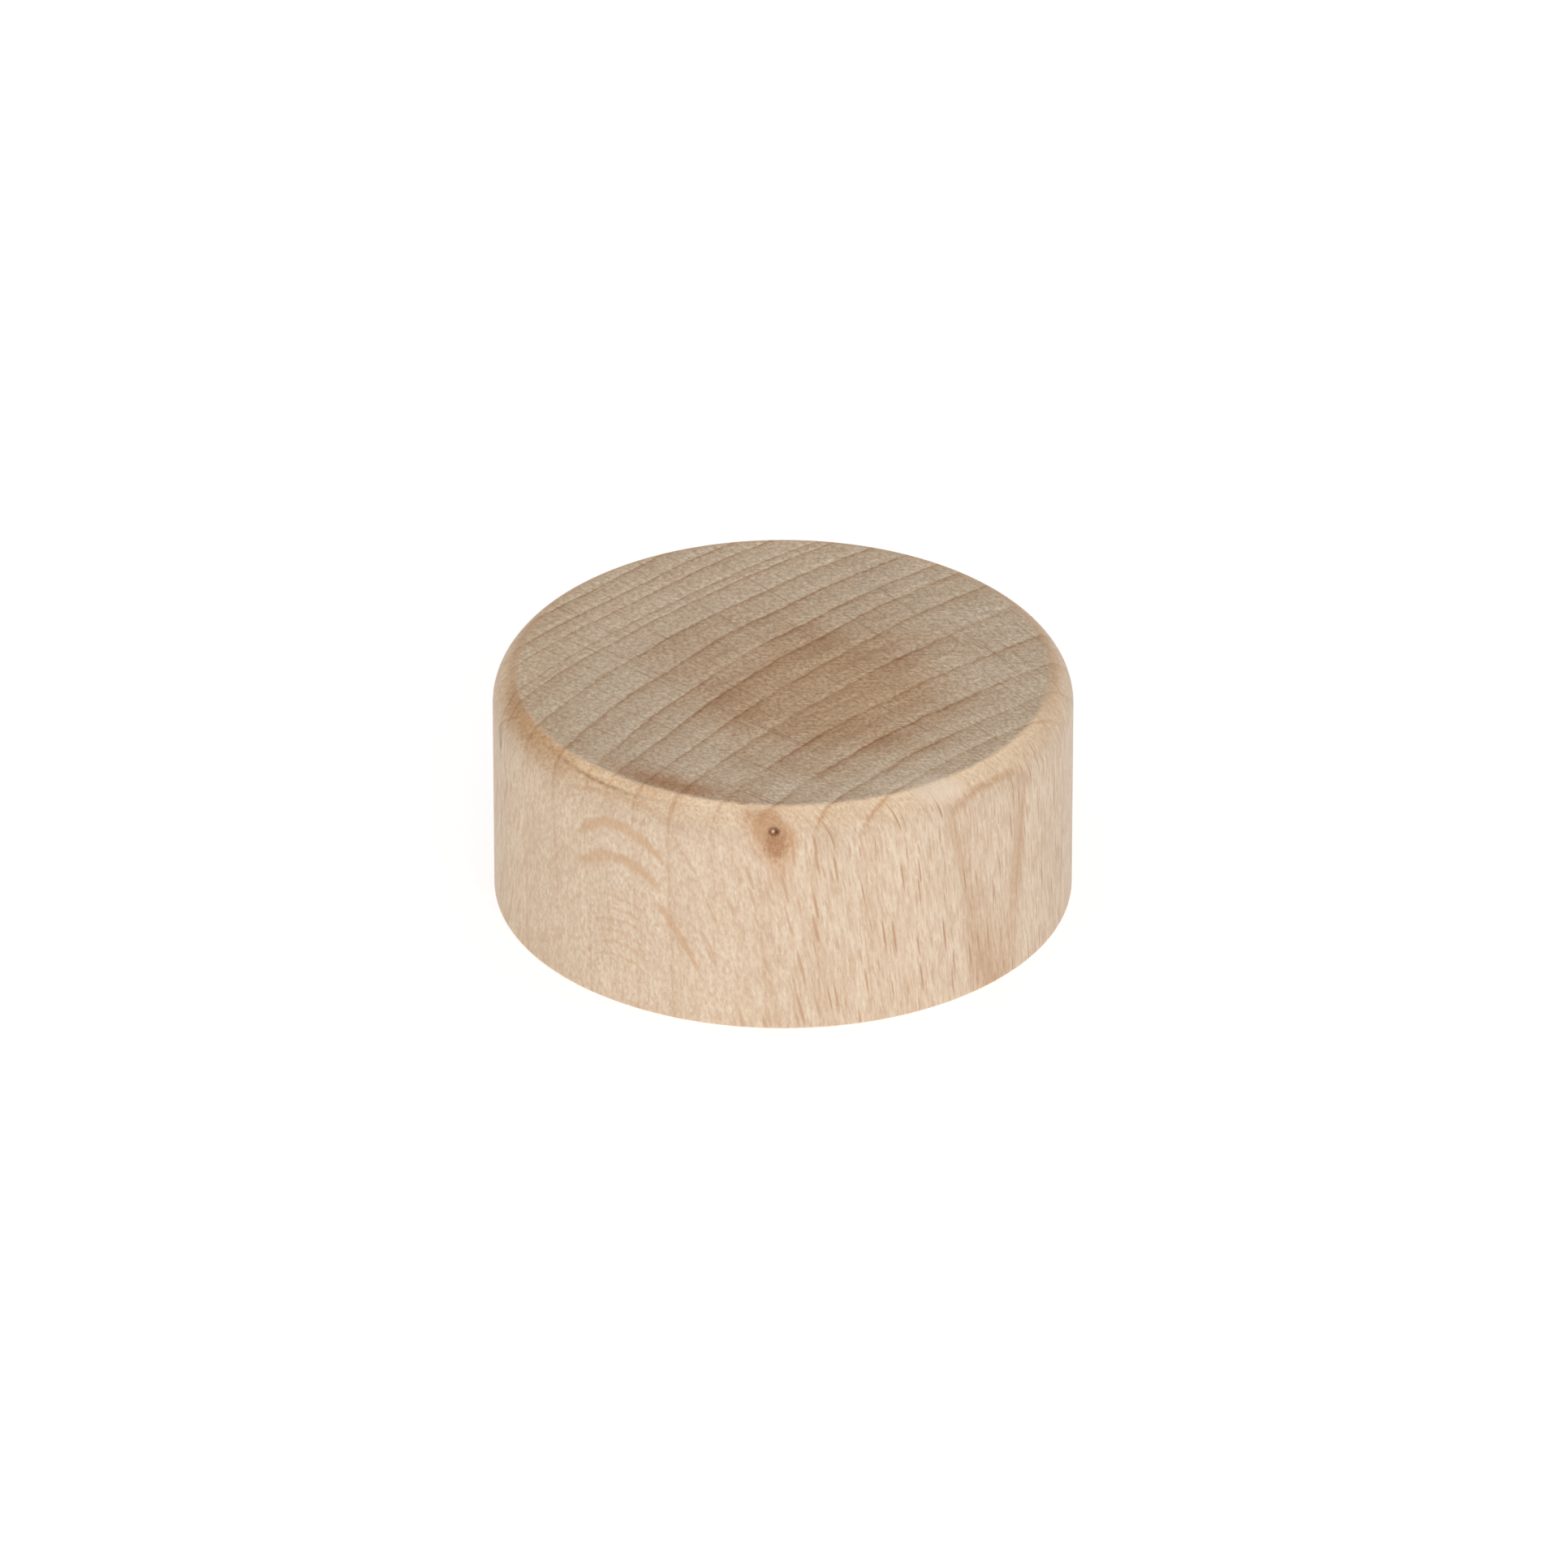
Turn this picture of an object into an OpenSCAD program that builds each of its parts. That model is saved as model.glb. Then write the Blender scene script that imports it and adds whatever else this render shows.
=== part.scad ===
// Dealer button: one disc of solid beech, turned from a rod.
// The grain runs along the axis, so both flat faces are end grain.
// Origin: centre of the base. +Z points up, out of the face.

/* [Disc] */
// Diameter over the side
disc_d = 50; // [40:1:76]
// Height from the base to the flat face
disc_h = 21; // [15:1:30]

/* [Edges] */
// Radius of the round-over between the side and the flat face
round_r = 3.3; // [2:0.1:6]
// How far the flat face stops short of the side. The round-over turns away from
// the side through this distance, and meets the face at a crisp edge.
face_inset = 1.85; // [1:0.05:2]
// Radius of the lightly sanded corner round the base
base_r = 0.4; // [0.2:0.1:1]

/* [Hidden] */
$fn = 180;

side_r = disc_d / 2;
// Height of the round-over, from where it leaves the side up to the flat face
round_h = sqrt(round_r * round_r - (round_r - face_inset) * (round_r - face_inset));
// Height at which the round-over leaves the side
round_z = disc_h - round_h;

// Half of the section through the axis, from the axis out to the side
module half_section() {
    intersection() {
        square([side_r, disc_h]);
        union() {
            square([side_r - round_r, disc_h]);
            square([side_r - base_r, round_z]);
            translate([0, base_r]) square([side_r, round_z - base_r]);
            translate([side_r - round_r, round_z]) circle(round_r);
            translate([side_r - base_r, base_r]) circle(base_r);
        }
    }
}

// The whole button: one turned and sanded piece of beech
module disc() {
    color("burlywood")
        rotate_extrude() half_section();
}

disc();
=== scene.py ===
"""Looks for the dealer button: one turned disc of solid beech, in solid (3-D) procedural wood.

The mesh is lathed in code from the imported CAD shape. Every vertex carries its place in the tree, in
mm: how far from the pith, how far round the rings, and how far along the grain. The material reads
those, so the growth rings, rays and fibres run on unbroken from the flat face over the round-over
and down the side. Lengths are in millimetres until the mesh is made, and the front is at -Y.
"""
import math
import bpy
import numpy as np
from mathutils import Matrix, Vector, noise


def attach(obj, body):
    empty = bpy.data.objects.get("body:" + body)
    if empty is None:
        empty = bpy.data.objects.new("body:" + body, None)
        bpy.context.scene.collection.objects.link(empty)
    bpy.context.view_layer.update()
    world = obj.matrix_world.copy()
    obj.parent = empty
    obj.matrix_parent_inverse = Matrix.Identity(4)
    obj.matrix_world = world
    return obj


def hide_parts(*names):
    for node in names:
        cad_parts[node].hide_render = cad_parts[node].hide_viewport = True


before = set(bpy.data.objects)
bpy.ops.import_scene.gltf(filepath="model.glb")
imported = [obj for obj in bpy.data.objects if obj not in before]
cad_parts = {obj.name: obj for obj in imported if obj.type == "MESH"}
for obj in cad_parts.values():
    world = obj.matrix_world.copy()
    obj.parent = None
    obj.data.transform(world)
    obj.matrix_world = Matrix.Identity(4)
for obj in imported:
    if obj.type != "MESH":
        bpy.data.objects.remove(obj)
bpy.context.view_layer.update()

MM = 0.001
NEAR = 0.001  # points nearer than this, in mm, count as level

# ---------------------------------------------------------------- the mesh
CAP_CELLS = 128  # cells across each flat; the disc has four times as many segments round it
WEAR_ROWS = 4  # rows of quads down the rubbed strip, the round-over, the side and the base's corner
ROUND_ROWS = 36
SIDE_ROWS = 49
BASE_ROWS = 5
CROWDING = 0.72  # how strongly the segments crowd together at the knot
EDGE_SOFTNESS = 0.08  # width over which the crisp rim turns
END_GRAIN_DEPTH = 0.012  # how far the soft early wood stands below the late wood on the flats
WAVINESS = 0.012  # how far the whole surface wanders
WAVE_LENGTH = 11.0

# ---------------------------------------------------------------- the tree
PITH_DISTANCE = 118.0  # from the disc's axis to the middle of the tree
PITH_BEARING = math.radians(-46.7)  # direction of the pith, anticlockwise from +X
GRAIN_LEAN = 0.13  # sideways lean of the grain, per mm of height
GRAIN_LEAN_GAIN = 0.0016  # how much more it leans, per mm round the rings
GRAIN_TAPER = 0.025  # outward lean of the rings, per mm of height
# Widths of the growth rings across the disc, from the one nearest the pith outwards
RING_WIDTHS = (2.7, 3.6, 2.9, 3.8, 4.2, 4.2, 4.0, 3.4, 2.6, 3.5, 3.4, 3.1, 1.0, 2.6, 1.7, 2.3, 2.0, 2.4)
FIRST_RING = -27.1  # where the first of them starts, from the axis
RING_SKEW = 0.035  # how far the rings swing off their circles, per mm round them
RING_SWING = 0.09  # how much more they swing across the middle of the disc
RING_SWING_CENTRE = 2.0
RING_SWING_REACH = 9.0
RING_RIPPLES = ((0.30, 9.0, 1.7), (0.10, 2.6, 4.1))  # height, length and shift of the ripples in them

# Sizes in the wood are three numbers: out from the pith, round the rings, and up.
# How fine each of its patterns is, per mm
STREAKS = (2.6, 3.4, 0.48)
STIPPLE = (3.7, 4.0, 1.8)
GLINTS = (5.0, 7.0, 1.8)
SIDE_CLOUDS = (0.5, 0.7, 0.12)
PORES = (2.3, 2.6, 1.0)
GRIT = (5.5, 5.5, 1.0)
BANDS = (1.5, 0.16, 0.02)
RING_JITTER = (1.3, 0.9, 0.12)
RING_PATCHES = (0.16, 0.09, 0.02)
RAY_WANDER = (0.3, 0.3, 0.25)
RAY_EDGES = (1.0, 1.0, 1.1)
RAY_BREAKS = (0.3, 0.9, 0.1)
CLOUDS = (0.13, 0.13, 0.05)
FIBRES = (3.0, 5.0, 0.8)

# The tall, the middling and the small rays that fill the wood: spacing, half size and shift, in mm
FINE_RAYS = (
    ((30.0, 1.8, 4.6), (18.0, 0.2, 2.8), (3.0, 0.4, 1.0)),
    ((20.0, 1.1, 2.6), (12.0, 0.16, 1.3), (7.0, 5.3, 0.2)),
    ((12.0, 0.6, 1.4), (8.0, 0.08, 0.7), (1.0, 2.7, 6.1)),
)
RAYS_ALONG = (1.0, 0.6, 0.4)  # how plain each kind is where the wood is cut along the grain
RAYS_ACROSS = (0.7, 0.9, 0.6)  # and where it is cut across
# Broad rays that the front left of the side cuts lengthwise, into arches and their tail. Each is its
# middle, its half size and how plain it is
BROAD_RAYS = (
    ((-2.6, 25.74, 16.6), (8.6, 0.15, 2.8), 0.8),
    ((-2.4, 26.28, 13.8), (8.2, 0.15, 2.8), 0.75),
    ((-8.3, 26.54, 8.2), (4.6, 0.15, 5.2), 0.85),
    ((-8.5, 25.05, 16.5), (3.0, 0.07, 3.4), 0.5),
    ((-11.0, 25.10, 11.5), (3.5, 0.07, 2.6), 0.5),
)
# A family of faint thin ones nested below them
FAINT_RAYS = 6
FAINT_RAY_MIDDLE = (-2.8, 26.95, 10.0)
FAINT_RAY_STEP = (0.0, 0.2, -1.1)
FAINT_RAY_HALF_SIZE = (3.6, 0.055, 1.7)
FAINT_RAY_SHARE = 0.45

# ---------------------------------------------------------------- the rubbed edge
# Strips rubbed flat between face and round-over: bearing and half width in degrees, width in mm
RUB_STRIPS = ((-125, 24, 1.05), (-48, 24, 0.35))
RUB_TURN = 0.28  # how much sooner the round-over ends, in radians per mm of rubbed strip
CREASE_LINE = (-132, 13)  # bearing and half width of the thin brown line along the crease
CREASE_LINE_WIDTH = 0.15
# The golden rub. Bearings over which it starts at the left, deepens, and ends at the front
GOLD_START = (-180, -166)
GOLD_DEEPENING = (-130, -158)
GOLD_END = (-122, -104)
GOLD_SHALLOW = 0.32
GOLD_DEEPER = 0.78
GOLD_REACH = 2.2  # how far it reaches below the face
# The faint tan band under it, with the depths over which it starts and ends
BAND_START = (-178, -168)
BAND_END = (-84, -66)
BAND_TOP = (0.3, 1.2)
BAND_BOTTOM = (2.2, 3.8)
BAND_SHARE = 0.08
# The brown stain on the flat face: bearing and half width, how far in from the rim and its half width
STAIN_BEARING = (-116, 17)
STAIN_INSIDE = 1.2
STAIN_HALF_WIDTH = 1.5

# ---------------------------------------------------------------- the darker middle of the face
# The flat faces are made darker and more saturated towards their middle, with stronger bands and rings there
DARK_MIDDLE_CENTRE = (3.5, -3.5, 0.0)
DARK_MIDDLE_SHAPE = (1.05, 1.0, 0.0)  # what the distance from there counts along X, Y and Z
DARK_MIDDLE_REACH = (19.0, 5.0)  # where the darkening starts and where it is full
DARK_MIDDLE_RAGGEDNESS = 16.0  # how far its outline wanders

# ---------------------------------------------------------------- the pin knot
KNOT_BEARING = math.radians(-91.9)
KNOT_HEIGHT = 19.4
KNOT_PIT_RADIUS = 0.42
KNOT_PIT_DEPTH = 0.2
KNOT_CORE_RADIUS = 0.15
KNOT_PUSH = 0.5  # how strongly the grain is pushed aside round it
KNOT_PUSH_REACH = 2.2
# Its brown halo is a lobed patch. Each lobe is its bearing, how far it reaches and its half width
HALO_REACH = 1.75
HALO_LOBES = ((150, 1.2, 24), (112, 0.4, 22), (45, -0.4, 30), (-20, 0.35, 30), (-78, 1.6, 36))
# The darker, smoky part of it below the knot: its middle and its half size, across, up and out
SMOKE_MIDDLE = (0.18, -1.1, 0.0)
SMOKE_HALF_SIZE = (1.15, 1.6, 3.0)

# ---------------------------------------------------------------- flecks and small patches, and one painted highlight
# Each is its bearing in degrees, radius, height, half size along X, Y and Z, how plain it is and its tone
FLECKS = (
    (-165.6, 25.0, 17.4, (0.5, 0.45, 0.9), 0.75, (150, 114, 92)),
    (-165.9, 24.9, 18.2, (0.9, 0.9, 1.9), 0.5, (170, 134, 108)),
    (-91.0, 25.0, 15.2, (1.8, 1.4, 2.4), 0.22, (198, 150, 114)),
    # Painted highlight: a pale patch on the rim at the front right, standing in for light on it
    (-56.0, 23.7, 20.5, (4.2, 3.0, 1.2), 0.6, (251, 230, 207)),
    (-98.5, 22.9, 21.0, (0.75, 0.28, 0.3), 0.6, (166, 124, 84)),
    (-122.0, 22.2, 21.0, (1.6, 1.3, 0.3), 0.25, (150, 118, 94)),
)

# ---------------------------------------------------------------- tones, as screen values
WOOD_TONES = {
    "side, dark": (210, 180, 151),
    "side, pale": (236, 217, 192),
    "side, clouds": (211, 181, 152),
    "side, glints": (248, 238, 224),
    "ray cut along": (208, 172, 138),
    "ray cut square": (182, 132, 93),
    "broad ray": (206, 166, 128),
    "end, dark": (190, 164, 136),
    "end, pale": (242, 225, 201),
    "end, bands": (190, 160, 130),
    "end, rays": (158, 122, 92),
    "end, worn pores": (150, 116, 88),
    "rubbed pores": (156, 116, 78),
    "crease line": (174, 128, 86),
    "halo, outer": (207, 162, 121),
    "halo, inner": (194, 144, 99),
    "smoke": (162, 110, 70),
    "pit": (136, 84, 50),
    "pit, darkest": (88, 48, 28),
    "core": (226, 206, 178),
}
# These multiply the colour under them, so a value over 255 brightens it
TINTS = {
    "side, ring": (214, 182, 150),
    "side, ring line": (220, 186, 152),
    "end, ring": (208, 183, 158),
    "end, ring line": (222, 186, 150),
    "dark_middle": (249, 235, 219),
    "stain": (222, 192, 166),
    "golden rub": (224, 206, 186),
    # The next four are painted light and shade on the side: lighter as it rolls over to face up, lighter
    # along the rim at the front, darker along the rim at the back
    "slope": (268, 265, 259),
    "painted light, upper side": (265, 267, 268),
    "painted highlight, front edge": (270, 268, 265),
    "painted shade, back edge": (226, 214, 203),
    # painted shade over the left part of the disc
    "left": (251, 249, 244),
}
OUTER_PALENESS = 1.09  # how much paler the face is where it is furthest from the pith
SCRATCH_CONTRAST = 0.1
BUMP_HEIGHT = 0.03

# ---------------------------------------------------------------- the view and the light
VIEW_WIDTH = 2.706  # in diameters of the disc
CAMERA_DISTANCE = 30  # in diameters of the disc
CAMERA_ELEVATION = math.radians(30)
AIM_BELOW = 0.6  # how far below and right of the disc's middle the camera aims
AIM_RIGHT = 0.08
SENSOR_WIDTH = 36
TENT_STRENGTH = 0.65
TENT_SIDE_STRENGTH = 0.42
TENT_SIDES_FROM = 0.3  # how far a direction points sideways where the tent starts to dim
FLOOR_HALF_WIDTH = 3.0  # in metres
FLOOR_GREY = 0.5
FLOOR_GLOW = 0.68


def cad_section():
    """The disc's driving sizes, read from its CAD mesh."""
    co = np.array([v.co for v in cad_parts["disc"].data.vertices]) / MM
    radius = np.hypot(co[:, 0], co[:, 1])
    near = 2 * NEAR
    side_r = radius.max()
    height = co[:, 2].max()
    face_r = radius[co[:, 2] > height - near].max()
    base_face_r = radius[co[:, 2] < near].max()
    on_side = co[radius > side_r - near, 2]
    inset = side_r - face_r
    rise = height - on_side.max()
    return {
        "side_r": side_r,
        "height": height,
        "face_r": face_r,
        "base_r": side_r - base_face_r,
        "round_r": (rise * rise + inset * inset) / (2 * inset),
        "round_z": on_side.max(),
    }


SIZE = cad_section()


def bump_at(angle, centre, half_width):
    """A smooth bump of height 1 round the disc. angle is in radians; its centre and width are in degrees."""
    off = (angle - math.radians(centre) + math.pi) % (2 * math.pi) - math.pi
    return np.exp(-((off / math.radians(half_width)) ** 2))


def ramp(value, start, end):
    """Runs smoothly from 0 to 1 as value goes from start to end, and stays level outside."""
    share = np.clip((value - start) / (end - start), 0, 1)
    return share * share * (3 - 2 * share)


def smooth_noise(points, period, shift):
    """Smooth noise between about -1 and 1 at each point, with features about one period apart."""
    moved = Vector((shift, -shift, 2 * shift))
    return np.array([noise.noise(Vector(p) / period + moved) for p in points])


# ================================================================ shape
def crowd(angle):
    """Moves evenly spaced bearings closer together near the knot."""
    return angle - CROWDING * np.sin(angle - KNOT_BEARING)


def cap_grid():
    """A square grid bent into a disc of radius 1: bearings, radii, its quads and its rim, in order."""
    n = CAP_CELLS
    line = np.linspace(-1, 1, n + 1)
    a, b = np.meshgrid(line, line, indexing="ij")
    radius = np.maximum(abs(a), abs(b))
    ratio = np.divide(np.minimum(abs(a), abs(b)), radius, out=np.zeros_like(a), where=radius > 0)
    turn = np.where(abs(a) >= abs(b), math.pi / 4 * ratio, math.pi / 2 - math.pi / 4 * ratio)
    angle = np.arctan2(np.sin(turn) * np.sign(b + (b == 0)), np.cos(turn) * np.sign(a + (a == 0)))
    index = np.arange((n + 1) ** 2).reshape(n + 1, n + 1)
    corners = [index[:-1, :-1], index[1:, :-1], index[1:, 1:], index[:-1, 1:]]
    quads = np.stack(corners, axis=-1).reshape(-1, 4)
    rim = np.concatenate([index[:-1, 0], index[-1, :-1], index[:0:-1, -1], index[0, :0:-1]])
    return angle.ravel(), radius.ravel(), quads, rim


def rim_wear(angle):
    """Width of the rubbed strip between the flat face and the round-over, at each bearing."""
    wear = EDGE_SOFTNESS
    for bearing, half_width, width in RUB_STRIPS:
        wear = wear + width * bump_at(angle, bearing, half_width)
    return wear


def crease(angle):
    """Where the round-over ends, at each bearing: how far it has turned, its radius and its z."""
    arc_r = SIZE["round_r"]
    full_turn = math.acos(1 - (SIZE["side_r"] - SIZE["face_r"]) / arc_r)
    turn = full_turn - RUB_TURN * (rim_wear(angle) - EDGE_SOFTNESS)
    radius = SIZE["side_r"] - arc_r + arc_r * np.cos(turn)
    return turn, radius, SIZE["round_z"] + arc_r * np.sin(turn)


def section_rows(angle):
    """The disc's outline from the rim of the face to the rim of the base, as rows of (radius, z, tilt).

    Each is an array over the bearings. tilt is how far the surface there faces up, in radians."""
    wear = rim_wear(angle)
    ones = np.ones_like(angle)
    level = math.pi / 2
    crease_turn, crease_r, crease_z = crease(angle)
    arc_r = SIZE["round_r"]
    centre_r = SIZE["side_r"] - arc_r
    rim_r = crease_r - wear
    rows = [(rim_r - EDGE_SOFTNESS, SIZE["height"] * ones, level * ones)]
    for step in np.linspace(0, 1, WEAR_ROWS + 1)[:-1]:
        z = SIZE["height"] + (crease_z - SIZE["height"]) * step
        rows.append((rim_r + wear * step, z, level + (crease_turn - level) * step))
    for step in np.linspace(1, 0, ROUND_ROWS + 1):
        turn = crease_turn * step
        rows.append((centre_r + arc_r * np.cos(turn), SIZE["round_z"] + arc_r * np.sin(turn), turn))
    for z in np.linspace(SIZE["round_z"], SIZE["base_r"], SIDE_ROWS + 1)[1:]:
        rows.append((SIZE["side_r"] * ones, z * ones, 0 * ones))
    base_r = SIZE["base_r"]
    for turn in np.linspace(0, level, BASE_ROWS + 1)[1:]:
        r = SIZE["side_r"] - base_r + base_r * math.cos(turn)
        rows.append((r * ones, (base_r - base_r * math.sin(turn)) * ones, -turn * ones))
    rows.append(((SIZE["side_r"] - base_r - EDGE_SOFTNESS) * ones, 0 * ones, -level * ones))
    return rows


def sorted_loop(angle, values):
    """A closed loop's bearings and values, sorted and wrapped, ready for np.interp."""
    order = np.argsort(angle)
    a, v = angle[order], values[order]
    turn = 2 * math.pi
    return np.concatenate([a[-1:] - turn, a, a[:1] + turn]), np.concatenate([v[-1:], v, v[:1]])


def surface():
    """Points, outward directions and quads of the whole disc, before any relief."""
    cap_angle, cap_radius, cap_quads, rim = cap_grid()
    cap_angle = crowd(cap_angle)
    angle = cap_angle[rim]
    rows = section_rows(angle)
    points, normals = [], []

    def add(r, bearing, z, tilt):
        points.append(np.stack([r * np.cos(bearing), r * np.sin(bearing), z], axis=-1))
        flat = np.cos(tilt)
        normals.append(np.stack([flat * np.cos(bearing), flat * np.sin(bearing), np.sin(tilt)], axis=-1))

    flat_ones = np.ones_like(cap_angle)
    rim_scale = np.interp(cap_angle, *sorted_loop(angle, rows[0][0]))
    add(cap_radius * rim_scale, cap_angle, SIZE["height"] * flat_ones, math.pi / 2 * flat_ones)
    for r, z, tilt in rows[1:-1]:
        add(r, angle, z, tilt)
    add(cap_radius * rows[-1][0][0], cap_angle, 0 * flat_ones, -math.pi / 2 * flat_ones)

    cap_count, loop_count = len(cap_angle), len(rim)
    loops = [rim]
    for k in range(len(rows) - 2):
        loops.append(cap_count + k * loop_count + np.arange(loop_count))
    base_start = cap_count + (len(rows) - 2) * loop_count
    loops.append(base_start + rim)
    quads = [cap_quads]
    for upper, lower in zip(loops, loops[1:]):
        quads.append(np.stack([upper, lower, np.roll(lower, -1), np.roll(upper, -1)], axis=-1))
    quads.append(base_start + cap_quads[:, ::-1])
    return np.concatenate(points), np.concatenate(normals), np.concatenate(quads)


# ================================================================ wood, stored on the mesh
def knot_axes():
    """The pin knot's place, and the directions across it, up it and out of it."""
    arc_r = SIZE["round_r"]
    rise = (KNOT_HEIGHT - SIZE["round_z"]) / arc_r
    radius = SIZE["side_r"] - arc_r + arc_r * math.sqrt(1 - rise * rise)
    outward = np.array([math.cos(KNOT_BEARING), math.sin(KNOT_BEARING), 0])
    across = np.array([-math.sin(KNOT_BEARING), math.cos(KNOT_BEARING), 0])
    tilt = math.asin(rise)
    facing = math.cos(tilt) * outward + np.array([0, 0, math.sin(tilt)])
    place = radius * outward + np.array([0, 0, KNOT_HEIGHT])
    return place, np.stack([across, np.cross(facing, across), facing], axis=-1)


def knot_offset(points):
    """Each point's place relative to the pin knot: across, up and out."""
    place, axes = knot_axes()
    return (points - place) @ axes


def tree_coordinates(points):
    """Each point's place in the tree: out from the pith, round the rings, and up.

    The grain parts round the knot."""
    knot = knot_offset(points)
    push = KNOT_PUSH * knot[:, 0] * np.exp(-(knot ** 2).sum(axis=-1) / KNOT_PUSH_REACH ** 2)
    across = knot_axes()[1][:, 0]
    grown = points - push[:, None] * across
    out = np.array([-math.cos(PITH_BEARING), -math.sin(PITH_BEARING)])
    sideways = np.array([-out[1], out[0]])
    along = grown[:, :2] @ out + PITH_DISTANCE
    aside = grown[:, :2] @ sideways
    below_face = SIZE["height"] - grown[:, 2]
    rho = np.hypot(along, aside) - PITH_DISTANCE + GRAIN_TAPER * below_face
    tangent = PITH_DISTANCE * np.arctan2(aside, along)
    tangent += (GRAIN_LEAN + GRAIN_LEAN_GAIN * tangent) * below_face
    return np.stack([rho, tangent, grown[:, 2]], axis=-1)


def ring_count(tree):
    """How many growth rings each point is from the first one, with the part of its own ring."""
    rho, tangent = tree[:, 0], tree[:, 1]
    middle = np.exp(-(((rho - RING_SWING_CENTRE) / RING_SWING_REACH) ** 2))
    swing = tangent * (RING_SKEW + RING_SWING * middle)
    flattened = tree * (1, 1, 0.25)
    ripple = sum(size * smooth_noise(flattened, length, shift) for size, length, shift in RING_RIPPLES)
    edges = FIRST_RING + np.concatenate([[0], np.cumsum(RING_WIDTHS)])
    return np.interp(rho + swing + ripple, edges, np.arange(len(edges)))


def ray_cut(points, normals):
    """How squarely the surface cuts across the rays: 1 where they end in it, 0 where it runs along them."""
    pith = PITH_DISTANCE * np.array([math.cos(PITH_BEARING), math.sin(PITH_BEARING)])
    outward = points[:, :2] - pith
    outward /= np.linalg.norm(outward, axis=-1)[:, None]
    return abs((normals[:, :2] * outward).sum(axis=-1))


def edge_places(points):
    """How far each point lies inside the rim of its flat, in mm, and how much it is in the thin line
    along the crease, from 0 to 1."""
    bearing = np.arctan2(points[:, 1], points[:, 0])
    radius = np.hypot(points[:, 0], points[:, 1])
    z = points[:, 2]
    _, crease_r, crease_z = crease(bearing)
    upper = z > crease_z - NEAR
    lower = z < NEAR
    rim_r = np.where(upper, crease_r - rim_wear(bearing), SIZE["side_r"] - SIZE["base_r"])
    from_flat = np.minimum(SIZE["height"] - z, z)
    inside_rim = np.where(upper | lower, rim_r - radius, -from_flat - EDGE_SOFTNESS)
    inside_crease = np.where(upper, crease_r - radius, z - crease_z)
    line = np.exp(-((inside_crease / CREASE_LINE_WIDTH) ** 2)) * bump_at(bearing, *CREASE_LINE)
    return inside_rim, line


def burnish(points, inside_rim):
    """How far the sander's rub has turned each point of the rounded edge golden, from 0 to 1."""
    bearing = np.degrees(np.arctan2(points[:, 1], points[:, 0]))
    below_face = SIZE["height"] - points[:, 2]
    gold = GOLD_SHALLOW + GOLD_DEEPER * ramp(bearing, *GOLD_DEEPENING)
    gold = gold * ramp(bearing, *GOLD_START) * (1 - ramp(bearing, *GOLD_END))
    gold = gold * (1 - ramp(below_face, 0, GOLD_REACH))
    band = BAND_SHARE * ramp(bearing, *BAND_START) * (1 - ramp(bearing, *BAND_END))
    band = band * ramp(below_face, *BAND_TOP) * (1 - ramp(below_face, *BAND_BOTTOM))
    return np.maximum(gold, band) * ramp(inside_rim, 0.25, -0.1)


def stain(points, inside_rim):
    """A faint brown stain on the flat face, along the front left of its rim, from 0 to 1."""
    bearing = np.arctan2(points[:, 1], points[:, 0])
    near_rim = np.exp(-(((inside_rim - STAIN_INSIDE) / STAIN_HALF_WIDTH) ** 2))
    return bump_at(bearing, *STAIN_BEARING) * near_rim * (inside_rim > 0)


def knot_halo(knot):
    """How far each point is from the knot, as a share of the way to the lobed outline of its halo."""
    bearing = np.arctan2(knot[:, 1], knot[:, 0])
    reach = HALO_REACH * np.ones_like(bearing)
    for lobe, extra, half_width in HALO_LOBES:
        reach += extra * bump_at(bearing, lobe, half_width)
    return np.linalg.norm(knot, axis=-1) / reach


def relief(points, normals, ring, knot):
    """How far the finished surface lies below the turned one, in mm."""
    flat = np.clip((abs(normals[:, 2]) - 0.9) / 0.1, 0, 1)
    early = 1 - (ring % 1)
    depth = flat * END_GRAIN_DEPTH * early
    depth += WAVINESS * (1 + smooth_noise(points, WAVE_LENGTH, 3.3)) / 2
    away = np.linalg.norm(knot, axis=-1)
    pit = np.clip(1 - away / KNOT_PIT_RADIUS, 0, 1)
    core = np.clip(1 - away / KNOT_CORE_RADIUS, 0, 1)
    depth += KNOT_PIT_DEPTH * pit ** 0.6 - 0.5 * KNOT_PIT_DEPTH * core ** 0.5
    return depth


def store(mesh, name, values):
    """Keeps one number or one vector for every vertex, for the material to read."""
    kind, field = ("FLOAT", "value") if values.ndim == 1 else ("FLOAT_VECTOR", "vector")
    attribute = mesh.attributes.new(name, kind, "POINT")
    attribute.data.foreach_set(field, values.astype(np.float32).ravel())


def make_disc():
    """The finished disc, with its place in the tree stored on every vertex."""
    points, normals, quads = surface()
    tree = tree_coordinates(points)
    ring = ring_count(tree)
    knot = knot_offset(points)
    inside_rim, crease_line = edge_places(points)
    shaped = points - normals * relief(points, normals, ring, knot)[:, None]

    mesh = bpy.data.meshes.new("beech_disc")
    mesh.from_pydata((shaped * MM).tolist(), [], quads.tolist())
    mesh.shade_smooth()
    store(mesh, "tree", tree)
    store(mesh, "ring", ring)
    store(mesh, "ray_cut", ray_cut(points, normals))
    store(mesh, "inside_rim", inside_rim)
    store(mesh, "crease_line", crease_line)
    store(mesh, "burnish", burnish(points, inside_rim))
    store(mesh, "stain", stain(points, inside_rim))
    store(mesh, "knot", knot)
    store(mesh, "halo", knot_halo(knot))
    mesh.validate()
    piece = bpy.data.objects.new("beech_disc", mesh)
    bpy.context.scene.collection.objects.link(piece)
    return piece


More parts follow.
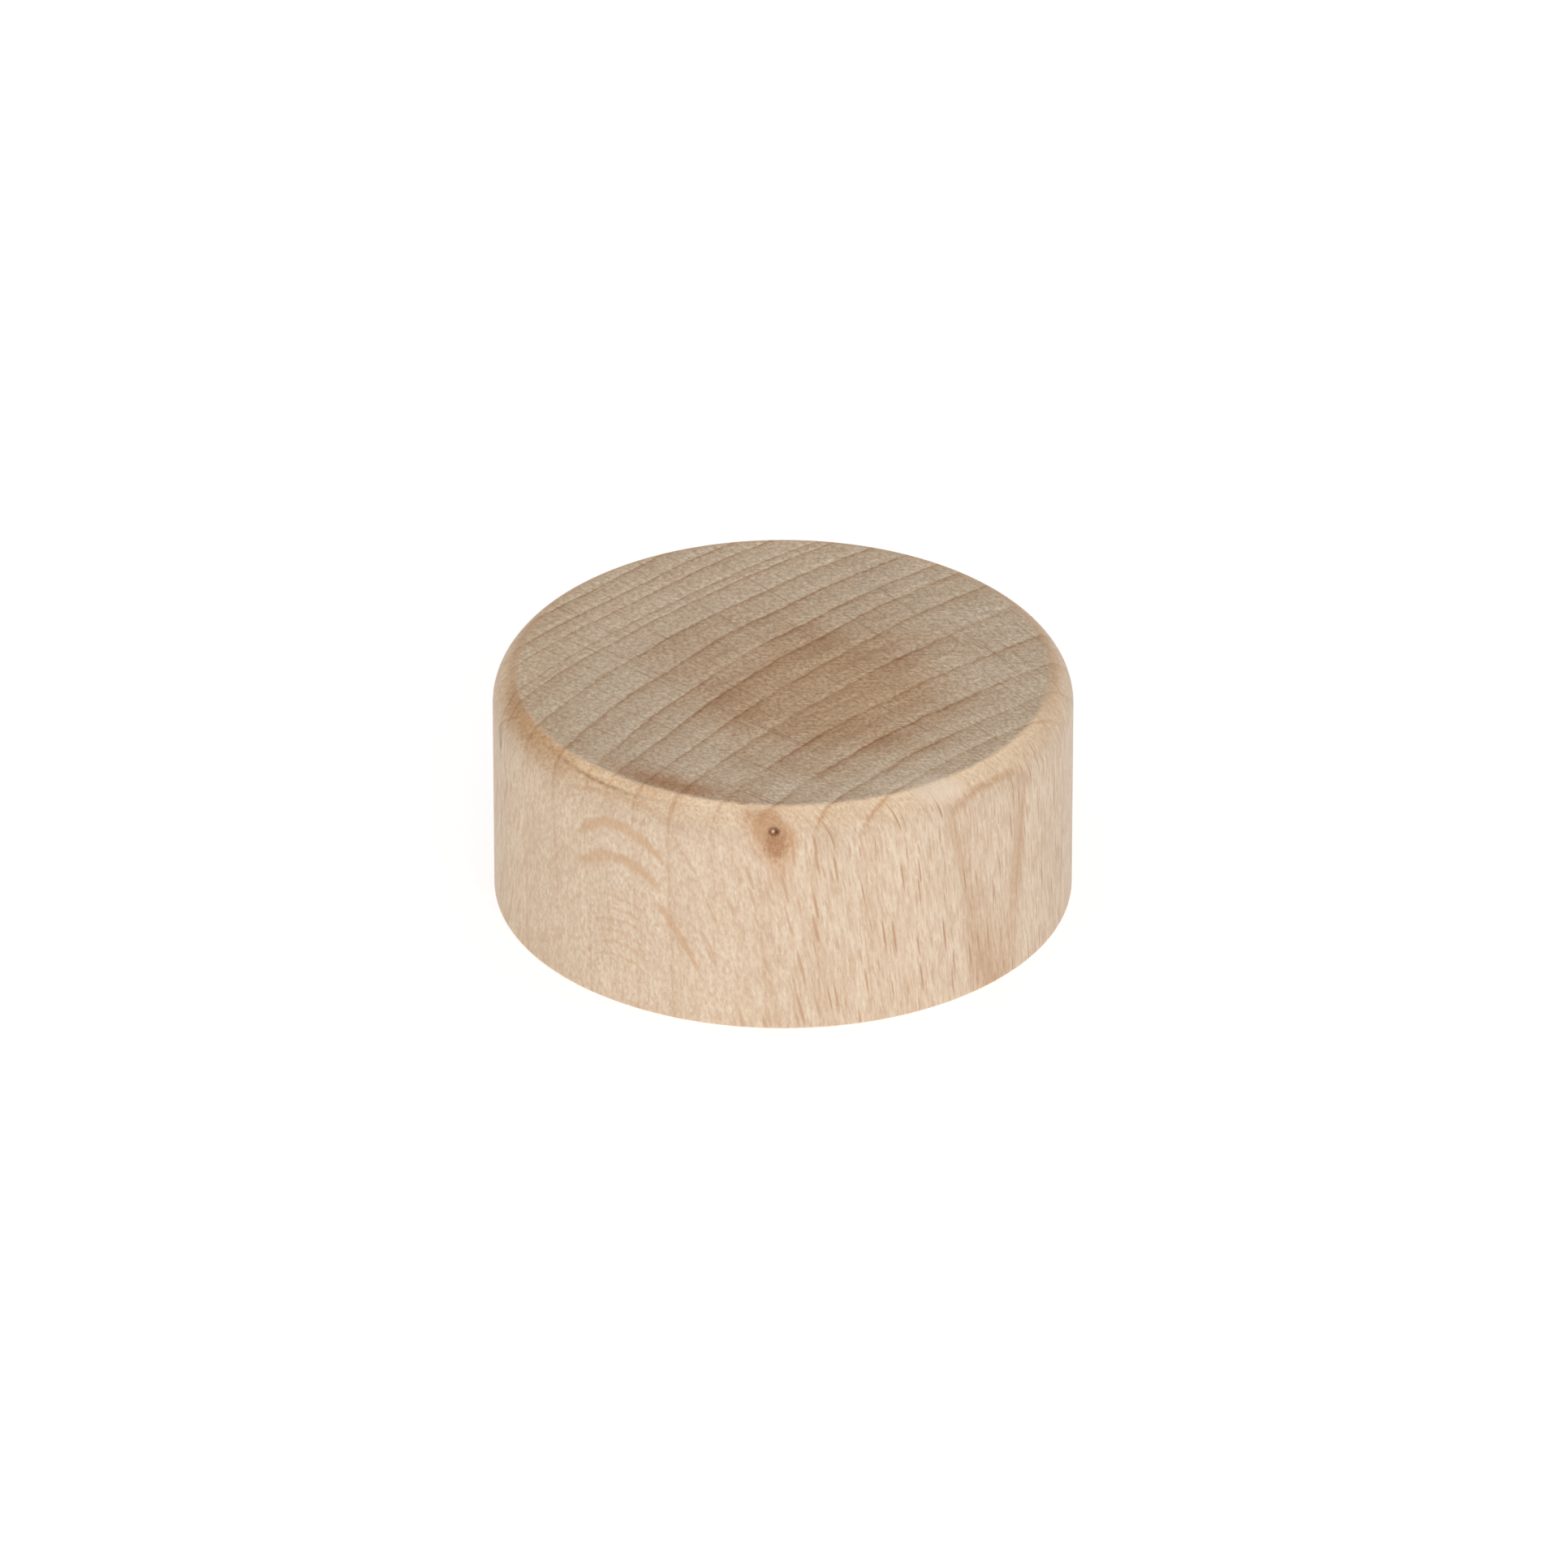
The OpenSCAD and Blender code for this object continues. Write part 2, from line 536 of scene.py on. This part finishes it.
# ================================================================ material
class Graph:
    """A material's node tree, with a short method for each kind of node that the wood needs."""

    def __init__(self, material):
        material.use_nodes = True
        self.tree = material.node_tree
        self.tree.nodes.clear()

    def node(self, kind, inputs=None, **settings):
        made = self.tree.nodes.new(kind)
        for name, value in settings.items():
            setattr(made, name, value)
        for key, value in (inputs or {}).items():
            self.feed(made.inputs[key], value)
        return made

    def feed(self, socket, value):
        if isinstance(value, bpy.types.NodeSocket):
            self.tree.links.new(value, socket)
        else:
            socket.default_value = value

    def math(self, operation, a, b=0.0):
        return self.node("ShaderNodeMath", {0: a, 1: b}, operation=operation).outputs[0]

    def add(self, a, b):
        return self.math("ADD", a, b)

    def less(self, a, b):
        return self.math("SUBTRACT", a, b)

    def times(self, a, b):
        return self.math("MULTIPLY", a, b)

    def most(self, a, b):
        return self.math("MAXIMUM", a, b)

    def vector(self, operation, a, b):
        return self.node("ShaderNodeVectorMath", {0: a, 1: b}, operation=operation).outputs["Vector"]

    def length(self, a):
        return self.node("ShaderNodeVectorMath", {0: a}, operation="LENGTH").outputs["Value"]

    def parts(self, a):
        """A vector's X, Y and Z."""
        return self.node("ShaderNodeSeparateXYZ", {0: a}).outputs

    def only(self, axis, value):
        """A vector that is 0 but for one axis."""
        return self.node("ShaderNodeCombineXYZ", {axis: value}).outputs[0]

    def step(self, value, start, end, low=0.0, high=1.0, kind="SMOOTHSTEP"):
        """Runs from low to high as value goes from start to end, and stays level outside."""
        inputs = {"Value": value, "From Min": start, "From Max": end, "To Min": low, "To Max": high}
        return self.node("ShaderNodeMapRange", inputs, interpolation_type=kind).outputs[0]

    def mix(self, share, a, b, blend="MIX"):
        made = self.node("ShaderNodeMix", {"Factor": share}, data_type="RGBA", blend_type=blend)
        self.feed(made.inputs[6], a)
        self.feed(made.inputs[7], b)
        return made.outputs[2]

    def mix_values(self, share, a, b):
        return self.node("ShaderNodeMix", {0: share, 2: a, 3: b}, data_type="FLOAT").outputs[0]

    def lay(self, share, colour, name):
        """Lays one of the wood's tones over a colour."""
        return self.mix(share, colour, rgb(*WOOD_TONES[name]))

    def tint(self, share, colour, name):
        """Multiplies a colour by one of the tints."""
        return self.mix(share, colour, rgb(*TINTS[name]), "MULTIPLY")

    def brighten(self, colour, by):
        grey = self.node("ShaderNodeCombineColor", {0: by, 1: by, 2: by}).outputs[0]
        return self.mix(1.0, colour, grey, "MULTIPLY")

    def noise(self, place, fineness=None, detail=2.0, roughness=0.5):
        """Noise from 0 to 1, mostly near the middle. fineness is per mm along each axis."""
        if fineness:
            place = self.vector("MULTIPLY", place, fineness)
        inputs = {"Vector": place, "Scale": 1.0, "Detail": detail, "Roughness": roughness}
        return self.node("ShaderNodeTexNoise", inputs).outputs["Fac"]

    def wobble(self, found, size):
        """Turns noise into a shift either way, about 0."""
        return self.times(self.less(found, 0.5), size)

    def attribute(self, name, output="Fac"):
        return self.node("ShaderNodeAttribute", attribute_name=name).outputs[output]


def rgb(red, green, blue):
    """A colour given as screen values from 0 to 255, as the linear values that nodes take."""
    def linear(value):
        value /= 255
        return value / 12.92 if value <= 0.04045 else ((value + 0.055) / 1.055) ** 2.4
    return (linear(red), linear(green), linear(blue), 1.0)


def wood_noise(g, tree, fineness, detail=2.0, roughness=0.6):
    """Noise from 0 to 1 in the wood, with strong contrast."""
    return g.step(g.noise(tree, fineness, detail, roughness), 0.32, 0.68)


def wandering(g, tree):
    """The tree coordinates, shifted a little to and fro round the rings, as rays are never quite straight."""
    return g.vector("ADD", tree, g.only("Y", g.wobble(g.noise(tree, RAY_WANDER, 1.0), 0.12)))


def ray_cells(g, tree, spacing, half_size, shift):
    """How much each point is in a ray: a thin upright lens that runs out from the pith, one to a cell."""
    cells = g.vector("DIVIDE", g.vector("ADD", tree, shift), spacing)
    found = g.node("ShaderNodeTexVoronoi", {"Vector": cells, "Scale": 1.0, "Randomness": 1.0})
    away = g.vector("SUBTRACT", cells, found.outputs["Position"])
    reach = g.length(g.vector("MULTIPLY", away, tuple(s / h for s, h in zip(spacing, half_size))))
    dice = g.node("ShaderNodeSeparateColor", {0: found.outputs["Color"]}).outputs[0]
    size = g.step(dice, 0.0, 1.0, 0.45, 1.0, "LINEAR")
    return g.step(g.less(size, reach), 0.0, 0.3)


def join_rays(g, rays, shares):
    """All the rays together, each kind at its own strength."""
    joined = 0.0
    for ray, share in zip(rays, shares):
        joined = g.most(joined, g.times(ray, share))
    return joined


def broad_rays(g, tree):
    """How much each point is in one of the broad rays, whose edges are a little ragged."""
    ragged = g.only("Y", g.wobble(g.noise(tree, RAY_EDGES, 3.0, 0.6), 0.12))
    moved = g.vector("ADD", tree, ragged)
    listed = list(BROAD_RAYS)
    for k in range(FAINT_RAYS):
        middle = tuple(m + k * step for m, step in zip(FAINT_RAY_MIDDLE, FAINT_RAY_STEP))
        listed.append((middle, FAINT_RAY_HALF_SIZE, FAINT_RAY_SHARE))
    found, shares = [], []
    for middle, half_size, share in listed:
        away = g.vector("DIVIDE", g.vector("SUBTRACT", moved, middle), half_size)
        found.append(g.step(g.length(away), 1.0, 0.45))
        shares.append(share)
    return join_rays(g, found, shares)


def ring_tone(g, tree):
    """How dark the growth ring is: pale where it starts, darker on the way out, and darkest in a thin
    line where it ends. Gives that tone, and the line by itself."""
    jitter = g.wobble(g.noise(tree, RING_JITTER, 3.0, 0.65), 0.16)
    within = g.math("FRACT", g.add(g.attribute("ring"), jitter))
    body = g.add(g.step(within, 0.0, 0.6, 0.0, 0.45, "LINEAR"), g.step(within, 0.75, 0.96, 0.0, 0.3))
    line = g.step(within, 0.9, 0.985)
    start = g.step(within, 0.0, 0.07, 1.0, 0.0)
    patch = g.step(g.noise(tree, RING_PATCHES), 0.35, 0.65, 0.5, 1.15)
    line = g.times(g.most(line, start), patch)
    return g.add(g.times(body, patch), g.times(line, 0.3)), line


def side_grain(g, tree, rays, broad, ring, ring_line, upright):
    """Colour of the wood cut along the grain."""
    streak = wood_noise(g, tree, STREAKS)
    stipple = wood_noise(g, tree, STIPPLE)
    cloud = wood_noise(g, tree, SIDE_CLOUDS)
    square = g.attribute("ray_cut")
    texture = g.mix_values(g.step(square, 0.1, 0.9, 0.3, 0.7), stipple, streak)
    colour = g.mix(texture, rgb(*WOOD_TONES["side, dark"]), rgb(*WOOD_TONES["side, pale"]))
    colour = g.lay(g.times(cloud, 0.3), colour, "side, clouds")
    glint = g.noise(tree, GLINTS, 1.0, 0.5)
    colour = g.lay(g.step(glint, 0.6, 0.75, 0.0, 0.35), colour, "side, glints")
    ring_share = g.step(upright, 0.3, 0.8, 0.15, 0.25)
    colour = g.tint(g.times(ring, ring_share), colour, "side, ring")
    line_share = g.most(g.step(square, 0.85, 1.0, 0.1, 0.42), g.step(upright, 0.2, 0.6, 0.0, 0.42))
    colour = g.tint(g.times(ring_line, line_share), colour, "side, ring line")
    ray_share = g.times(join_rays(g, rays, RAYS_ALONG), g.step(square, 0.15, 0.85, 0.35, 0.72))
    ray_colour = g.lay(square, rgb(*WOOD_TONES["ray cut along"]), "ray cut square")
    colour = g.mix(ray_share, colour, ray_colour)
    return g.lay(g.times(broad, g.step(texture, 0.0, 1.0, 1.0, 0.75)), colour, "broad ray")


def end_grain(g, tree, rays, ring, ring_line, dark_middle):
    """Colour of the wood cut across the grain."""
    pores = wood_noise(g, tree, PORES, 3.0, 0.7)
    grit = wood_noise(g, tree, GRIT, 1.0)
    bands = wood_noise(g, tree, BANDS)
    texture = g.mix_values(0.25, pores, grit)
    colour = g.mix(texture, rgb(*WOOD_TONES["end, dark"]), rgb(*WOOD_TONES["end, pale"]))
    colour = g.lay(g.times(bands, g.step(dark_middle, 0.0, 1.0, 0.26, 0.45)), colour, "end, bands")
    colour = g.tint(g.times(ring, g.step(dark_middle, 0.0, 1.0, 0.68, 0.95)), colour, "end, ring")
    colour = g.tint(g.times(ring_line, 0.16), colour, "end, ring line")
    broken = g.step(g.noise(tree, RAY_BREAKS), 0.38, 0.62, 0.15, 0.55)
    colour = g.lay(g.times(join_rays(g, rays, RAYS_ACROSS), broken), colour, "end, rays")
    colour = g.brighten(colour, g.step(g.parts(tree)[0], 2.0, 20.0, 1.0, OUTER_PALENESS))
    colour = g.lay(g.times(dark_middle, g.step(pores, 0.5, 0.1, 0.0, 0.16)), colour, "end, worn pores")
    # Darker and more saturated towards the middle of the face
    return g.tint(dark_middle, colour, "dark_middle")


def sanding(g, place):
    """Faint straight scratches across the flat faces, from -1 to 1, plainest on the right."""
    turned = g.node("ShaderNodeVectorRotate", {"Vector": place, "Angle": math.radians(-4)}).outputs[0]
    marks = 0.0
    for fineness in ((0.18, 3.6, 1.0), (0.7, 5.0, 1.0)):
        found = g.noise(turned, fineness, 2.0, 0.65)
        marks = g.add(marks, g.less(g.step(found, 0.52, 0.66), g.step(found, 0.48, 0.34)))
    return g.times(marks, g.step(g.parts(place)[0], -14.0, 6.0, 0.3, 1.0))


def paint_side_light_and_shade(g, colour, place, upright):
    """Painted light and shade: lightens the side as it rolls over to face up, lightens the rim along the
    front and darkens the rim along the back, standing in for how the light falls.
    """
    colour = g.tint(g.step(upright, 0.25, 0.7), colour, "slope")
    colour = g.tint(g.step(upright, 0.6, 0.85), colour, "painted light, upper side")
    front = g.step(g.parts(place)[1], 0.0, -12.0)
    colour = g.tint(g.times(front, g.step(upright, 0.78, 0.95)), colour, "painted highlight, front edge")
    return g.tint(g.times(g.less(1.0, front), g.step(upright, 0.6, 0.92)), colour, "painted shade, back edge")


def paint_edge(g, colour, burnished, place):
    """Lays the golden rub, and the thin line along the crease, over the wood."""
    mottle = g.noise(place, (1.9, 1.9, 1.6), 4.0, 0.75)
    colour = g.tint(g.times(burnished, g.step(mottle, 0.36, 0.64, 1.35, 0.7)), colour, "golden rub")
    colour = g.lay(g.times(burnished, g.step(mottle, 0.43, 0.34, 0.0, 0.5)), colour, "rubbed pores")
    line = g.times(g.attribute("crease_line"), g.step(mottle, 0.35, 0.6, 0.85, 0.5))
    return g.lay(line, colour, "crease line")


def paint_flecks(g, colour, place):
    """Lays the few flecks and small patches, and the painted highlight on the rim, over the wood."""
    for bearing, radius, height, half_size, strength, tone in FLECKS:
        a = math.radians(bearing)
        away = g.vector("SUBTRACT", place, (radius * math.cos(a), radius * math.sin(a), height))
        near = g.length(g.vector("DIVIDE", away, half_size))
        colour = g.mix(g.step(near, 1.0, 0.2, 0.0, strength), colour, rgb(*tone))
    return colour


def paint_halo(g, colour, knot, halo, fine):
    """Lays the knot's brown halo, with its curled fibres and its smoky part, over the wood."""
    coarse = g.noise(knot, (1.6, 1.6, 1.6), 3.0, 0.6)
    fibre = g.noise(knot, (4.5, 1.4, 3.0), 3.0, 0.65)
    curled = g.vector("ADD", g.vector("MULTIPLY", knot, (0.7, 0.7, 0.7)), g.only("Z", g.times(halo, 9.0)))
    curl = g.step(g.noise(curled, roughness=0.6), 0.4, 0.6, 1.0, 0.7)
    curl = g.times(curl, g.step(fine, 0.36, 0.62, 1.1, 0.7))
    ragged = g.add(g.add(halo, g.wobble(coarse, 0.5)), g.wobble(fibre, 0.6))
    colour = g.lay(g.times(curl, g.step(ragged, 1.4, 0.8, 0.0, 0.6)), colour, "halo, outer")
    colour = g.lay(g.times(curl, g.step(ragged, 1.05, 0.6, 0.0, 0.7)), colour, "halo, inner")
    below = g.vector("DIVIDE", g.vector("SUBTRACT", knot, SMOKE_MIDDLE), SMOKE_HALF_SIZE)
    below = g.add(g.length(below), g.wobble(fibre, 1.4))
    smoke = g.times(g.step(below, 1.25, 0.4, 0.0, 0.8), g.step(fine, 0.36, 0.6, 1.0, 0.6))
    return g.lay(smoke, colour, "smoke")


def paint_knot(g, colour, knot, halo):
    """Lays the pin knot over the wood: its halo, its dark pit and its pale core."""
    fine = g.noise(knot, (4.5, 4.5, 4.5), 3.0, 0.6)
    colour = paint_halo(g, colour, knot, halo, fine)
    pit = g.length(g.vector("MULTIPLY", g.vector("SUBTRACT", knot, (0.05, 0.0, 0.0)), (1.0, 1.35, 1.0)))
    pit = g.add(pit, g.wobble(fine, 0.3))
    colour = g.lay(g.step(pit, 0.72, 0.3, 0.0, 0.85), colour, "pit")
    darkest = g.length(g.vector("SUBTRACT", knot, (0.24, -0.03, 0.0)))
    colour = g.lay(g.step(darkest, 0.26, 0.08, 0.0, 0.75), colour, "pit, darkest")
    core = g.length(g.vector("MULTIPLY", g.vector("SUBTRACT", knot, (-0.03, 0.0, 0.0)), (1.0, 0.85, 1.0)))
    core = g.add(core, g.wobble(fine, 0.1))
    return g.lay(g.step(core, 0.18, 0.05, 0.0, 0.9), colour, "core")


def beech():
    """Plain, finely sanded, unfinished beech, solid all through."""
    material = bpy.data.materials.new("beech")
    g = Graph(material)
    tree = g.attribute("tree", "Vector")
    burnished = g.attribute("burnish")
    upright = g.parts(g.node("ShaderNodeNewGeometry").outputs["Normal"])[2]
    place = g.node("ShaderNodeTexCoord").outputs["Object"]
    place = g.vector("MULTIPLY", place, (1 / MM, 1 / MM, 1 / MM))
    fray = g.wobble(g.noise(place, (1.8, 1.8, 1.8), 3.0, 0.6), 0.6)
    across_grain = g.step(g.add(g.attribute("inside_rim"), fray), -0.25, 0.45)

    ring, ring_line = ring_tone(g, tree)
    tree_for_rays = wandering(g, tree)
    rays = [ray_cells(g, tree_for_rays, *kind) for kind in FINE_RAYS]
    broad = broad_rays(g, tree_for_rays)
    cloud = g.noise(tree, CLOUDS, 3.0, 0.5)
    # How far each point is in the darker middle of the flat faces, from 0 to 1
    from_dark_middle = g.length(g.vector("MULTIPLY", g.vector("SUBTRACT", place, DARK_MIDDLE_CENTRE), DARK_MIDDLE_SHAPE))
    dark_middle = g.step(g.add(from_dark_middle, g.wobble(cloud, DARK_MIDDLE_RAGGEDNESS)), *DARK_MIDDLE_REACH)

    side = side_grain(g, tree, rays, broad, ring, ring_line, upright)
    # Painted light and shade over the side, by which way it faces
    side = paint_side_light_and_shade(g, side, place, upright)
    side = paint_edge(g, side, burnished, place)
    scratches = sanding(g, place)
    end = end_grain(g, tree, rays, ring, ring_line, dark_middle)
    end = g.tint(g.attribute("stain"), end, "stain")
    end = g.brighten(end, g.add(1.0, g.times(scratches, SCRATCH_CONTRAST)))
    colour = paint_flecks(g, g.mix(across_grain, side, end), place)
    colour = g.brighten(colour, g.step(cloud, 0.3, 0.7, 0.97, 1.03, "LINEAR"))
    # Painted shade: the left part of the disc a little darker and warmer, where less light falls
    colour = g.tint(g.step(g.parts(place)[0], -12.0, -24.0), colour, "left")
    colour = paint_knot(g, colour, g.attribute("knot", "Vector"), g.attribute("halo"))

    fibres = g.noise(tree, FIBRES, 3.0, 0.6)
    ray = g.most(broad, join_rays(g, rays, RAYS_ALONG))
    height = g.less(fibres, g.times(ray, 0.4))
    height = g.add(height, g.times(g.times(scratches, across_grain), 0.12))
    bump = {"Strength": 0.7, "Distance": BUMP_HEIGHT * MM, "Height": height}
    rough = g.step(across_grain, 0.0, 1.0, 0.52, 0.72, "LINEAR")
    rough = g.less(rough, g.times(g.add(ray, burnished), 0.1))
    rough = g.add(rough, g.wobble(fibres, 0.2))
    shader = g.node("ShaderNodeBsdfPrincipled", {
        "Base Color": colour,
        "Roughness": rough,
        "Normal": g.node("ShaderNodeBump", bump).outputs[0],
        "Specular IOR Level": 0.4,
    })
    g.node("ShaderNodeOutputMaterial", {"Surface": shader.outputs[0]})
    return material


# ================================================================ stage
def make_floor():
    """A plain white floor, lit a little from inside like a light table."""
    mesh = bpy.data.meshes.new("floor")
    half = FLOOR_HALF_WIDTH
    corners = [(-half, -half, 0), (half, -half, 0), (half, half, 0), (-half, half, 0)]
    mesh.from_pydata(corners, [], [(0, 1, 2, 3)])
    floor = bpy.data.objects.new("floor", mesh)
    bpy.context.scene.collection.objects.link(floor)
    material = bpy.data.materials.new("white_floor")
    g = Graph(material)
    shader = g.node("ShaderNodeBsdfPrincipled", {
        "Base Color": (FLOOR_GREY, FLOOR_GREY, FLOOR_GREY, 1),
        "Roughness": 0.9,
        "Emission Color": (1, 1, 1, 1),
        "Emission Strength": FLOOR_GLOW,
    })
    g.node("ShaderNodeOutputMaterial", {"Surface": shader.outputs[0]})
    mesh.materials.append(material)


def add_softbox(name, azimuth, elevation, distance, size, power):
    """A square softbox aimed at the disc. Azimuth 0 is in front and positive is to the right.

    Angles are in degrees, distance and size in metres, and power in watts."""
    light = bpy.data.lights.new(name, "AREA")
    light.shape = "SQUARE"
    light.size = size
    light.energy = power
    lamp = bpy.data.objects.new(name, light)
    a, e = math.radians(azimuth), math.radians(elevation)
    back = Vector((math.sin(a) * math.cos(e), -math.cos(a) * math.cos(e), math.sin(e)))
    lamp.location = back * distance
    lamp.rotation_mode = "QUATERNION"
    lamp.rotation_quaternion = back.to_track_quat("Z", "Y")
    bpy.context.scene.collection.objects.link(lamp)


def add_camera():
    """A long lens in front and above, aimed just below and right of the middle of the disc."""
    disc_d = 2 * SIZE["side_r"]
    distance = CAMERA_DISTANCE * disc_d * MM
    view_width = VIEW_WIDTH * disc_d * MM
    back = Vector((0, -math.cos(CAMERA_ELEVATION), math.sin(CAMERA_ELEVATION)))
    right = Vector((1, 0, 0))
    up = right.cross(-back).normalized()
    target = Vector((0, 0, SIZE["height"] / 2 * MM)) - up * AIM_BELOW * MM + right * AIM_RIGHT * MM
    data = bpy.data.cameras.new("camera")
    data.sensor_width = SENSOR_WIDTH
    data.lens = SENSOR_WIDTH * distance / view_width
    camera = bpy.data.objects.new("camera", data)
    camera.location = target + back * distance
    camera.rotation_mode = "QUATERNION"
    camera.rotation_quaternion = (-back).to_track_quat("-Z", "Y")
    bpy.context.scene.collection.objects.link(camera)
    bpy.context.scene.camera = camera


def light_scene():
    """A bright product tent with its key light in front and a little less light from its sides."""
    world = bpy.data.worlds.new("tent")
    world.use_nodes = True
    nodes, links = world.node_tree.nodes, world.node_tree.links
    direction = nodes.new("ShaderNodeTexCoord")
    parts = nodes.new("ShaderNodeSeparateXYZ")
    sideways = nodes.new("ShaderNodeMath")
    sideways.operation = "ABSOLUTE"
    strength = nodes.new("ShaderNodeMapRange")
    strength.inputs["From Min"].default_value = TENT_SIDES_FROM
    strength.inputs["From Max"].default_value = 1.0
    strength.inputs["To Min"].default_value = TENT_STRENGTH
    strength.inputs["To Max"].default_value = TENT_SIDE_STRENGTH
    background = nodes["Background"]
    background.inputs["Color"].default_value = (1, 1, 1, 1)
    links.new(direction.outputs["Generated"], parts.inputs[0])
    links.new(parts.outputs["X"], sideways.inputs[0])
    links.new(sideways.outputs[0], strength.inputs["Value"])
    links.new(strength.outputs[0], background.inputs["Strength"])
    bpy.context.scene.world = world
    add_softbox("key", azimuth=8, elevation=28, distance=1.2, size=0.7, power=3.7)
    bpy.context.scene.view_settings.view_transform = "Standard"


disc = make_disc()
disc.data.materials.append(beech())
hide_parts("disc")
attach(disc, "root")

make_floor()
light_scene()
add_camera()
